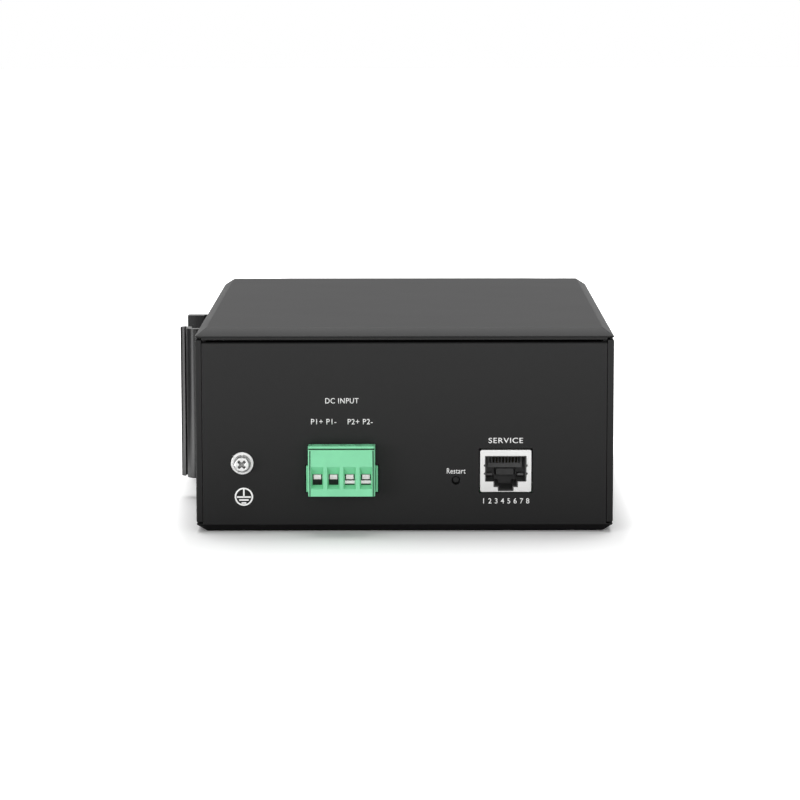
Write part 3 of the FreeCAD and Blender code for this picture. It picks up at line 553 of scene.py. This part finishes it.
# %% [markdown]
# ## Working by hand, in code
# Operators act on whatever is selected, as they do under a mouse. These few helpers select one object,
# enter edit mode, pick faces or corners by a test, and apply a modifier, so that each piece below reads
# as a sequence of modelling steps.

# %% Selecting
FACING = 0.9
NEAR = 0.05 * MM


def alone(piece):
    """Selects this object and nothing else."""
    bpy.ops.object.select_all(action="DESELECT")
    piece.select_set(True)
    bpy.context.view_layer.objects.active = piece


@contextmanager
def editing(piece):
    """Edit mode with everything selected."""
    alone(piece)
    bpy.ops.object.mode_set(mode="EDIT")
    bpy.ops.mesh.select_all(action="SELECT")
    yield
    bpy.ops.object.mode_set(mode="OBJECT")


def pick_faces(piece, test):
    """In edit mode, selects the faces that pass the test, and no others."""
    bpy.ops.mesh.select_mode(type="FACE")
    bpy.ops.mesh.select_all(action="DESELECT")
    bpy.ops.object.mode_set(mode="OBJECT")
    for face in piece.data.polygons:
        face.select = test(face)
    bpy.ops.object.mode_set(mode="EDIT")


def pick_spots(piece, test):
    """In edit mode, selects the vertices that pass the test, and no others."""
    bpy.ops.mesh.select_mode(type="VERT")
    bpy.ops.mesh.select_all(action="DESELECT")
    bpy.ops.object.mode_set(mode="OBJECT")
    for vertex in piece.data.vertices:
        vertex.select = test(vertex.co)
    print(piece.name, "picks", sum(vertex.select for vertex in piece.data.vertices), "vertices")
    bpy.ops.object.mode_set(mode="EDIT")


print("near means within", round(NEAR / MM, 2), "mm")

# %% Shaping
EDGE_ANGLE = math.radians(32)


def apply_modifier(piece, kind, **settings):
    alone(piece)
    modifier = piece.modifiers.new(kind.lower(), kind)
    for name, value in settings.items():
        setattr(modifier, name, value)
    bpy.ops.object.modifier_apply(modifier=modifier.name)


def soften(piece, width):
    """Rounds the sharp edges and shades the piece smooth, with its flats kept flat."""
    apply_modifier(piece, "BEVEL", width=width, segments=2, limit_method="ANGLE",
                   angle_limit=EDGE_ANGLE, use_clamp_overlap=False)
    bpy.ops.object.shade_smooth()
    apply_modifier(piece, "WEIGHTED_NORMAL", keep_sharp=False)


def cut(piece, tool):
    """Takes the tool's shape out of the piece."""
    apply_modifier(piece, "BOOLEAN", operation="DIFFERENCE", solver="EXACT", use_self=True, object=tool)
    bpy.data.objects.remove(tool)


def settle():
    """Puts the selected object's place, turn and scale into its mesh."""
    bpy.ops.object.transform_apply(location=True, rotation=True, scale=True)


def join(pieces):
    """One object from several. It stays the only one selected."""
    alone(pieces[0])
    for piece in pieces[1:]:
        piece.select_set(True)
    if len(pieces) > 1:
        bpy.ops.object.join()
    return pieces[0]


def copy_to(piece, place, outward, turn=0.0):
    """A copy with its own mesh at this place, its +Z turned outward, then turned about that direction."""
    alone(piece)
    bpy.ops.object.duplicate()
    copy = bpy.context.object
    copy.rotation_mode = "QUATERNION"
    copy.rotation_quaternion = Quaternion(outward, turn) @ Vector((0, 0, 1)).rotation_difference(outward)
    copy.location = place
    settle()
    return copy


def block_at(place, size, turn=0.0):
    """A block of this size with its middle here, ready to be shaped."""
    bpy.ops.object.select_all(action="DESELECT")
    bpy.ops.mesh.primitive_cube_add(size=1, location=place)
    block = bpy.context.object
    block.scale = size
    block.rotation_euler.z = turn
    settle()
    return block


print("edges count as sharp from", round(math.degrees(EDGE_ANGLE)), "degrees")

# %% Seating
def seat(piece, name, finish, body="housing", stands_for=()):
    """Names and paints a finished piece, and sets it on its body."""
    alone(piece)
    settle()
    piece.name = name
    piece.data.name = name
    piece.data.materials.clear()
    piece.data.materials.append(finish)
    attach(piece, body)
    if stands_for:
        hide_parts(*stands_for)
    print(name, "on", body, len(piece.data.polygons), "faces")
    return piece


def seat_for(node, piece, finish):
    """Seats a piece in the place of a solid, on the same body."""
    return seat(piece, node + "_dressed", finish, nodes[node]["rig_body"], [node])


# %% [markdown]
# ## Edges that catch the light
# A solid from the drawing board has edges sharper than any real sheet or moulding. On the real case the
# paint gathers round every edge and draws a thin bright line along it. So each piece that shows is a copy
# of its solid, merged and cleaned into large faces, with a narrow bevel along its sharp edges.

# %% Dressing a solid
WELD = 0.0005 * MM
FLAT = math.radians(0.2)
SHEET_EDGE = 0.14 * MM
MOULDED_EDGE = 0.12 * MM
FINE_EDGE = 0.06 * MM


def merged_copy(node):
    """A clean copy of a solid's mesh, free to be changed."""
    alone(nodes[node])
    bpy.ops.object.duplicate()
    piece = bpy.context.object
    piece.parent = None
    del piece["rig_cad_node"]
    bpy.ops.mesh.customdata_custom_splitnormals_clear()
    with editing(piece):
        bpy.ops.mesh.remove_doubles(threshold=WELD)
        bpy.ops.mesh.dissolve_limited(angle_limit=FLAT)
    return piece


def dress(node, finish, edge):
    piece = merged_copy(node)
    soften(piece, edge)
    return seat_for(node, piece, finish)


for node in ("chassis", "top_cover", "rear_wall", "port_panel"):
    dress(node, case_paint, SHEET_EDGE)
dress("rail_spring", spring_steel, FINE_EDGE)

# %% [markdown]
# ## The clip's finger lip
# The clip's near leg ends in a round nose, and a thin lip beside it gives a finger something to pull. The
# die draws both with soft corners. Here the copy of the clip is worked over by hand: the lip gets thicker
# towards the nose, the nose gives way by nearly as much, the groove between them gets deeper, and the
# lip's outer front edge is rolled. Places are counted from the lip's outer side and from the front of the
# nose.

# %% Clip
LIP_THICK = 1.3 * MM
LIP_FRONT = 5.8 * MM
LIP_REACH = 6.6 * MM
LIP_GAIN = 0.22 * MM
LIP_ROLL = 0.65 * MM
LIP_GROOVE = 0.6 * MM
LIP_GROOVE_END = 6.4 * MM
LIP_GROOVE_DEEPER = 0.9 * MM
LEG_SIDE = 1.8 * MM
LEG_INNER = 1.45 * MM
LEG_OUTER = 2.0 * MM
NOSE_RADIUS = 3.55 * MM
NOSE_TIP = 1.0 * MM
NOSE_SHRINK = 0.945

clip = merged_copy("rail_clip")
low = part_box("rail_clip")[0]
lip_back = low.y + LIP_REACH
nose_middle = low.x + LIP_THICK + LIP_GROOVE + NOSE_RADIUS


def on_leg_inside(spot):
    return abs(spot.x - nose_middle + LEG_INNER) < NEAR and spot.y > low.y + NOSE_TIP


with editing(clip):
    pick_spots(clip, lambda spot: spot.y < lip_back and abs(spot.x - low.x - LIP_THICK) < NEAR)
    bpy.ops.transform.translate(value=(LIP_GAIN, 0, 0))
    pick_spots(clip, lambda spot: spot.y < lip_back and low.x + LEG_SIDE < spot.x < nose_middle
               and not on_leg_inside(spot))
    bpy.ops.transform.resize(value=(NOSE_SHRINK, 1, 1), center_override=(nose_middle, 0, 0))
    pick_spots(clip, lambda spot: abs(spot.y - low.y - LIP_GROOVE_END) < NEAR
               and spot.x < nose_middle - LEG_OUTER)
    bpy.ops.transform.translate(value=(0, LIP_GROOVE_DEEPER, 0))
    pick_spots(clip, lambda spot: spot.y < low.y + LIP_FRONT and spot.x < low.x + NEAR)
    bpy.ops.mesh.bevel(offset=LIP_ROLL, segments=3, affect="EDGES")
soften(clip, SHEET_EDGE)
seat_for("rail_clip", clip, clip_metal)

# %% [markdown]
# ## Connectors
# The terminal's header, the clamps, the shields and the inserts of the jacks are mouldings and thin
# plated parts. Their solids already have the right shape, so they only need their finish and an edge
# that is finer than the sheet's.

# %% Terminal, jack and port mouldings
POLES = 4

dress("terminal_header", green, MOULDED_EDGE)
for number in range(1, POLES + 1):
    dress(f"clamp_screw_{number}", zinc, FINE_EDGE)
    dress(f"clamp_cage_{number}", nickel, FINE_EDGE)
dress("plug_contacts", tin, FINE_EDGE)
for node in ("console_jack_shell", "port_block_shell", "module_cage"):
    dress(node, nickel, FINE_EDGE)
for node in ("console_jack_insert", "port_block_insert"):
    dress(node, jack_insert_painted_light, FINE_EDGE)
dress("console_jack_comb", comb_plastic, FINE_EDGE)
dress("reset_plunger", reset_plastic, FINE_EDGE)
dress("port_light_pipes", lens_plastic, FINE_EDGE)
dress("ground_flat_washer", nickel, MOULDED_EDGE)
dress("ground_lock_washer", dull_zinc, MOULDED_EDGE)

# %% [markdown]
# ## The plug's face
# The plug's two outer corners are broken by a wider roll than its other edges, so they are rolled before
# the narrow bevel comes. An end plate closes each side of the plug, and its seam is a fine line down the
# face. A dark line in the material would do from afar. Here two thin blocks cut the seams, so that their
# edges catch light too. A cut leaves slivers, and the mesh is cleaned of them before it is softened.

# %% Plug corners and seams
CORNER_ROLL = 0.4 * MM
SEAM_IN = 0.62 * MM
SEAM_WIDTH = 0.22 * MM
SEAM_DEPTH = 0.3 * MM
SEAM_TOP = 1.4 * MM
SEAM_BELOW = 1.0 * MM
SLIVER = 0.002 * MM
SLIVER_ANGLE = math.radians(0.5)

plug = merged_copy("terminal_plug")
low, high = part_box("terminal_plug")
with editing(plug):
    pick_spots(plug, lambda spot: spot.y < low.y + NEAR and not low.x + NEAR < spot.x < high.x - NEAR)
    bpy.ops.mesh.bevel(offset=CORNER_ROLL, segments=2, affect="EDGES")
seam_size = (SEAM_WIDTH, 2 * SEAM_DEPTH, high.z - SEAM_TOP - low.z + SEAM_BELOW)
seam_z = (low.z + high.z - SEAM_TOP - SEAM_BELOW) / 2
cut(plug, join([block_at((x, low.y, seam_z), seam_size) for x in (low.x + SEAM_IN, high.x - SEAM_IN)]))
with editing(plug):
    bpy.ops.mesh.remove_doubles(threshold=SLIVER)
    bpy.ops.mesh.dissolve_degenerate(threshold=SLIVER)
    bpy.ops.mesh.dissolve_limited(angle_limit=SLIVER_ANGLE)
soften(plug, FINE_EDGE)
seat_for("terminal_plug", plug, green)

# %% [markdown]
# ## Stops in the jack
# Inside the jack, two stops and a middle block stand in front of the back wall and end the travel of a
# cable's plug. They could be plain blocks. Here their front is drawn in, as a mould's draft leaves it,
# and gets a small raised field, so that they catch light as the real ones do.

# %% Jack stops
STOP_DRAFT = 0.88
STOP_RIM = 0.18 * MM
STOP_FIELD = 0.12 * MM
STOP_ASIDE = 5.0 * MM
STOP_SIZE = (2.3 * MM, 0.68 * MM, 3.6 * MM)
BLOCK_SIZE = (6.6 * MM, 2.2 * MM, 3.0 * MM)
CAVITY_RISE = 3.62 * MM

shell_low, shell_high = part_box("console_jack_shell")
cavity_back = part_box("console_jack_comb")[1].y
jack_x = (shell_low.x + shell_high.x) / 2
cavity_floor = shell_low.z + CAVITY_RISE


def stop_block(x, width, height, reach):
    """A block on the floor of the jack's cavity, before its back wall, narrower at its front."""
    block = block_at((x, cavity_back - reach / 2, cavity_floor + height / 2), (width, reach, height))
    with editing(block):
        pick_faces(block, lambda face: face.normal.y < -FACING)
        bpy.ops.transform.resize(value=(STOP_DRAFT, 1, 1), center_override=(x, 0, 0))
        bpy.ops.mesh.inset(thickness=STOP_RIM)
        bpy.ops.transform.translate(value=(0, -STOP_FIELD, 0))
    return block


stops = join([stop_block(jack_x + hand * STOP_ASIDE, *STOP_SIZE) for hand in (-1, 1)])
middle_block = stop_block(jack_x, *BLOCK_SIZE)
for piece, name, finish in ((stops, "console_jack_stops", comb_plastic),
                            (middle_block, "console_jack_block", jack_insert_painted_light)):
    soften(piece, FINE_EDGE)
    seat(piece, name, finish)

# %% [markdown]
# ## Spring fingers of the shields
# Where a shielded connector passes through the sheet, short springs along its edge press on the panel and
# carry interference away. They are alike, so one finger is modelled: a strip, its outer end narrowed and
# its edges rolled. The others are copies, turned to the side they stand on.

# %% Spring fingers
FINGER_THICK = 0.34 * MM
FINGER_WIDTH = 1.5 * MM
FINGER_LIFT = 0.32 * MM
FINGER_TIP = 0.7
FINGER_ROUND = 0.08 * MM
FINGER_OUT = 0.2 * MM

panel_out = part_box("port_panel")[1].x
finger = block_at((0, 0, FINGER_LIFT / 2), (FINGER_THICK, FINGER_WIDTH, FINGER_LIFT))
with editing(finger):
    pick_faces(finger, lambda face: face.normal.z > FACING)
    bpy.ops.transform.resize(value=(FINGER_TIP, FINGER_TIP, 1), center_override=(0, 0, 0))
soften(finger, FINGER_ROUND)


def fingers_round(node, along, sides):
    """Fingers round the front edge of a shield: so many along its length, and so many at its sides."""
    low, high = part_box(node)
    x = panel_out + FINGER_OUT
    copies = []
    for number in range(along):
        y = low.y + (number + 0.5) * (high.y - low.y) / along
        copies += [copy_to(finger, (x, y, high.z), Vector((0, 0, 1))),
                   copy_to(finger, (x, y, low.z), Vector((0, 0, -1)), math.pi / 2)]
    for number in range(sides):
        z = low.z + (number + 0.5) * (high.z - low.z) / sides
        copies += [copy_to(finger, (x, high.y, z), Vector((0, 1, 0))),
                   copy_to(finger, (x, low.y, z), Vector((0, -1, 0)))]
    return seat(join(copies), node + "_fingers", nickel)


fingers_round("module_cage", 10, 3)
fingers_round("port_block_shell", 16, 6)
bpy.data.objects.remove(finger)

# %% [markdown]
# ## Finishes of the inner solids
# What the closed case hides keeps the mesh of its solid. It still gets its real finish, because the part
# may be opened or looked into through a jack. The console jack's contacts are the exception: their dark
# gold is painted shade.

# %% Inner finishes
inner = {
    zinc: ("ground_nut", "board_standoffs", "board_screws"),
    black_plastic: ("module_connectors", "reset_switch_body", "status_light_holder", "switch_chip",
                    "port_transformers", "power_controllers", "memory_chip", "isolated_converter",
                    "power_inductors"),
    gold: ("port_contacts",),
    gold_in_painted_shade: ("console_jack_contacts",),
    tin: ("header_pins",),
    laminate: ("main_board",),
    aluminium: ("heat_sink",),
    sleeve: ("bulk_capacitors",),
    pad_rubber: ("thermal_pad",),
}
for finish, members in inner.items():
    for node in members:
        nodes[node].data.materials.clear()
        nodes[node].data.materials.append(finish)
print(sum(len(members) for members in inner.values()), "inner solids painted")

# %% [markdown]
# ## Screws with a cross recess
# The case and the clip are held by countersunk screws. Their heads are plain cones in the solids, and the
# recess for the driver is what makes them read as screws. It is one tapered cross, modelled once from two
# blocks, and cut out of each head with a Boolean. Each cross is turned as far as the driver left it. The
# earth screw on the power end gets the same cross.

# %% Cross recess
RECESS_SPAN = 4.0 * MM
RECESS_WIDTH = 1.05 * MM
RECESS_DEPTH = 1.3 * MM
RECESS_TAPER = 0.55


def recess_tool():
    """A cross that narrows downwards, its top above z = 0."""
    wings = []
    for turn in (0, math.pi / 2):
        wing = block_at((0, 0, 0), (RECESS_SPAN, RECESS_WIDTH, 2 * RECESS_DEPTH), turn)
        with editing(wing):
            pick_faces(wing, lambda face: face.normal.z < -FACING)
            bpy.ops.transform.resize(value=(RECESS_TAPER, RECESS_TAPER, 1), center_override=(0, 0, 0))
        wings.append(wing)
    return join(wings)


def recess_screws(node, spots, outward, finish, turns, edge=FINE_EDGE):
    """The screws of a node, each head with a recess that is turned by so many degrees."""
    piece = merged_copy(node)
    tool = recess_tool()
    tools = [copy_to(tool, spot, outward(spot), math.radians(turn)) for spot, turn in zip(spots, turns)]
    bpy.data.objects.remove(tool)
    cut(piece, join(tools))
    soften(piece, edge)
    return seat_for(node, piece, finish)


print("recess", round(RECESS_DEPTH / MM, 2), "mm deep")

# %% Screws
HEAD_RADIUS = 2.75 * MM
HEX_EDGE = 0.16 * MM
CASE_TURNS = (12, 57, 33, 80, 5, 41, 68, 22)
CLIP_TURNS = (20, 64, 38, 9)
GROUND_TURNS = (45,)


def heads_at(low, high, sides):
    """The middles of the heads at the corners of a box, on its sides at these x."""
    return [Vector((x, y, z)) for x in sides
            for y in (low.y + HEAD_RADIUS, high.y - HEAD_RADIUS)
            for z in (low.z + HEAD_RADIUS, high.z - HEAD_RADIUS)]


def sideways(spot):
    return Vector((math.copysign(1, spot.x), 0, 0))


low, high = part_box("case_screws")
recess_screws("case_screws", heads_at(low, high, (low.x, high.x)), sideways, black_steel, CASE_TURNS)
low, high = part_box("clip_screws")
recess_screws("clip_screws", heads_at(low, high, (low.x,)), sideways, black_steel, CLIP_TURNS)
low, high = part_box("ground_screw")
ground_spot = Vector(((low.x + high.x) / 2, low.y, (low.z + high.z) / 2))
recess_screws("ground_screw", [ground_spot], lambda spot: Vector((0, -1, 0)), head_plate, GROUND_TURNS,
              HEX_EDGE)

# %% [markdown]
# ## Status lights
# Each light is a clear rod that ends in a rounded lens just proud of the port panel. A sphere on a rod
# would leave a seam, so a rod is drawn and its front edge rolled over with a wide bevel.

# %% Status lights
LIGHT_COUNT = 4
LENS_ROLL = 1.0 * MM
ROD_SIDES = 40
LENS_ANGLE = math.radians(40)

light_low, light_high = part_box("status_lights")
light_radius = (light_high.y - light_low.y) / 2
light_middle = (light_low + light_high) / 2
light_pitch = (light_high.z - light_low.z - 2 * light_radius) / (LIGHT_COUNT - 1)
lights = []
for number in range(LIGHT_COUNT):
    z = light_low.z + light_radius + number * light_pitch
    bpy.ops.object.select_all(action="DESELECT")
    bpy.ops.mesh.primitive_cylinder_add(vertices=ROD_SIDES, radius=light_radius,
                                        depth=light_high.x - light_low.x,
                                        location=(light_middle.x, light_middle.y, z),
                                        rotation=(0, math.pi / 2, 0))
    light = bpy.context.object
    settle()
    with editing(light):
        pick_faces(light, lambda face: face.normal.x > FACING)
        bpy.ops.mesh.bevel(offset=LENS_ROLL, segments=8, affect="EDGES")
    lights.append(light)
lights = join(lights)
bpy.ops.object.shade_smooth_by_angle(angle=LENS_ANGLE)
seat(lights, "status_lenses", lens_plastic, stands_for=["status_lights"])

# %% [markdown]
# ## Printed marks
# The power end carries white screen print: the polarity of each pole, short names, and numbers under the
# jack. The port side has plain numbers and the names of its lights. Print is a film of ink, so letters
# are drawn as text, turned into a mesh and laid on the paint as a film thinner than a hair. The marks
# here are plain generic ones.

# %% Letters
INK = 0.02 * MM
CAP_HEIGHT = 1.72 * MM
STROKE_GAIN = 0.008
LETTER_SPACE = 1.1


def letters(text, middle, stretch=1.0, turn=0.0):
    """A line of upright text with its middle here, its letters this much wider than usual."""
    bpy.ops.object.select_all(action="DESELECT")
    bpy.ops.object.text_add()
    line = bpy.context.object
    line.data.body = text
    line.data.align_x = "CENTER"
    line.data.offset = STROKE_GAIN
    line.data.space_character = LETTER_SPACE
    bpy.ops.object.convert(target="MESH")
    heights = [vertex.co.y for vertex in line.data.vertices]
    scale = CAP_HEIGHT / (max(heights) - min(heights))
    line.scale = (scale * stretch, scale, scale)
    bpy.ops.object.transform_apply(scale=True)
    apply_modifier(line, "SOLIDIFY", thickness=INK, offset=1.0)
    line.rotation_euler = (math.pi / 2, 0, turn)
    line.location = Vector(middle) - Vector((0, 0, CAP_HEIGHT / 2))
    settle()
    return line


print("letters", round(CAP_HEIGHT / MM, 2), "mm high")

# %% Marks of both sides
POLE_PITCH = 5.08 * MM
PAIR_ASIDE = 1.13 * POLE_PITCH
JACK_COLUMNS = 4
MODULE_SLOTS = 2
FIRST_MODULE = 9
NUMBER_GAP = 2.4 * MM
NAME_GAP = 3.2 * MM
SIDE_STRETCH = 0.9

panel_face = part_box("rear_wall")[0].y
plug_low, plug_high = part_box("terminal_plug")
reset_low, reset_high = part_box("reset_plunger")
terminal_x = (plug_low.x + plug_high.x) / 2
reset_x = (reset_low.x + reset_high.x) / 2
# Text, place across, height in mm, and stretch
power_marks = (("DC INPUT", terminal_x, 42.05, 0.9),
               ("P1+ P1-", terminal_x - PAIR_ASIDE, 35.4, 0.95),
               ("P2+ P2-", terminal_x + PAIR_ASIDE, 35.4, 0.95),
               ("SERVICE", jack_x, 29.36, 1.17),
               ("1 2 3 4 5 6 7 8", jack_x, 10.08, 0.95),
               ("Restart", reset_x, 19.65, 0.76))
marks = [letters(text, (x, panel_face, height * MM), stretch) for text, x, height, stretch in power_marks]

port_low, port_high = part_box("port_block_shell")
cage_low, cage_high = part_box("module_cage")
jack_pitch = (port_high.y - port_low.y) / JACK_COLUMNS
slot_pitch = (cage_high.y - cage_low.y) / MODULE_SLOTS
side_marks = []
for column in range(JACK_COLUMNS):
    y = port_low.y + (column + 0.5) * jack_pitch
    side_marks += [(str(2 * column + 1), y, port_high.z + NUMBER_GAP),
                   (str(2 * column + 2), y, port_low.z - NUMBER_GAP)]
for column in range(MODULE_SLOTS):
    y = cage_low.y + (column + 0.5) * slot_pitch
    side_marks.append((str(FIRST_MODULE + column), y, cage_high.z + NUMBER_GAP))
for row, name in enumerate(("P1", "P2", "RUN", "ALM")):
    side_marks.append((name, light_low.y - NAME_GAP, light_high.z - light_radius - row * light_pitch))
marks += [letters(name, (panel_out, y, z), SIDE_STRETCH, math.pi / 2) for name, y, z in side_marks]
print("print lies at y", round(panel_face / MM, 3))
seat(join(marks), "printed_marks", print_white)

# %% [markdown]
# ## The earth sign
# Under the earth screw stands the standard sign: a ring with a stem and three bars that get shorter. It
# is a drawing and not a letter, so it is built from a disc, inset and emptied to a ring, and from strips,
# and it gets the same film of ink.

# %% Earth sign
SIGN_MIDDLE = Vector((-50.74, 0, 11.45)) * MM
SIGN_RADIUS = 2.9 * MM
SIGN_LINE = 0.49 * MM
SIGN_SIDES = 72
# Width and drop of each bar in mm
SIGN_BARS = ((4.4, 0.1), (3.0, 1.05), (1.5, 2.0))


def bar(width, height, z):
    bpy.ops.object.select_all(action="DESELECT")
    bpy.ops.mesh.primitive_plane_add(size=1, location=(0, z, 0))
    strip = bpy.context.object
    strip.scale = (width, height, 1)
    settle()
    return strip


bpy.ops.object.select_all(action="DESELECT")
bpy.ops.mesh.primitive_circle_add(vertices=SIGN_SIDES, radius=SIGN_RADIUS, fill_type="NGON")
ring = bpy.context.object
with editing(ring):
    bpy.ops.mesh.inset(thickness=SIGN_LINE)
    bpy.ops.mesh.delete(type="FACE")
stem = SIGN_RADIUS - SIGN_LINE
strips = [bar(SIGN_LINE, stem, stem / 2)]
strips += [bar(width * MM, SIGN_LINE, -drop * MM) for width, drop in SIGN_BARS]
sign = join([ring] + strips)
apply_modifier(sign, "SOLIDIFY", thickness=INK, offset=1.0)
sign.rotation_euler = (math.pi / 2, 0, 0)
sign.location = SIGN_MIDDLE + Vector((0, panel_face, 0))
seat(sign, "earth_sign", print_white)
